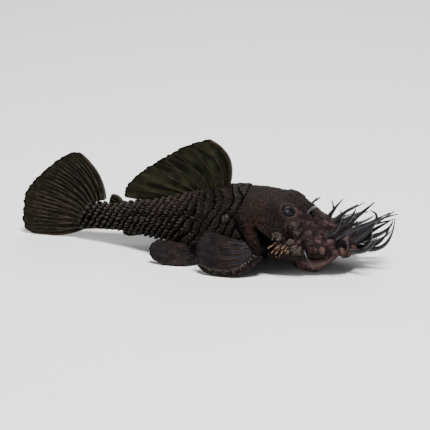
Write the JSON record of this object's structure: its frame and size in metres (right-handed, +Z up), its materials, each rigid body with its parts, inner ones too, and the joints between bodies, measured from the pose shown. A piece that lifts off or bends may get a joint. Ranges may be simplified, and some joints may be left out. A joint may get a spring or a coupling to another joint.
{
  "type": "bristlenose pleco",
  "caption": "Armoured, sucker-mouthed catfish with branching snout bristles, raised back fin and spread tail fin, resting on the floor.",
  "frame": {"origin": "middle of the bounding box's underside, on the floor the fish rests on", "axes": "+X forward to the snout, +Y to the fish's left, +Z up"},
  "size_m": [0.1358, 0.0404, 0.0418],
  "materials": {
    "skin": "very dark brown bony plates, finely granular, satin",
    "snout": "dark fleshy snout and bristles, moist sheen",
    "lips": "soft pinkish brown lips, moist sheen",
    "spine": "brown bone with pale orange spine tips, satin",
    "fin": "near-black fin rays and olive web, satin",
    "eye": "black eye with a grey ring, wet gloss"
  },
  "bodies": {
    "root": {"head": "skin", "trunk_front": "skin", "trunk_rear": "skin", "tail_stalk": "skin", "snout": "snout", "mouth": "lips", "gill_cover_right": "spine", "gill_cover_left": "spine", "eye_right": "eye", "eye_left": "eye", "dorsal_fin": "fin", "adipose_fin": "fin", "anal_fin": "fin", "caudal_fin": "fin", "pectoral_fin_right": "fin", "pectoral_fin_left": "fin", "pelvic_fin_right": "fin", "pelvic_fin_left": "fin"}
  },
  "joints": []
}
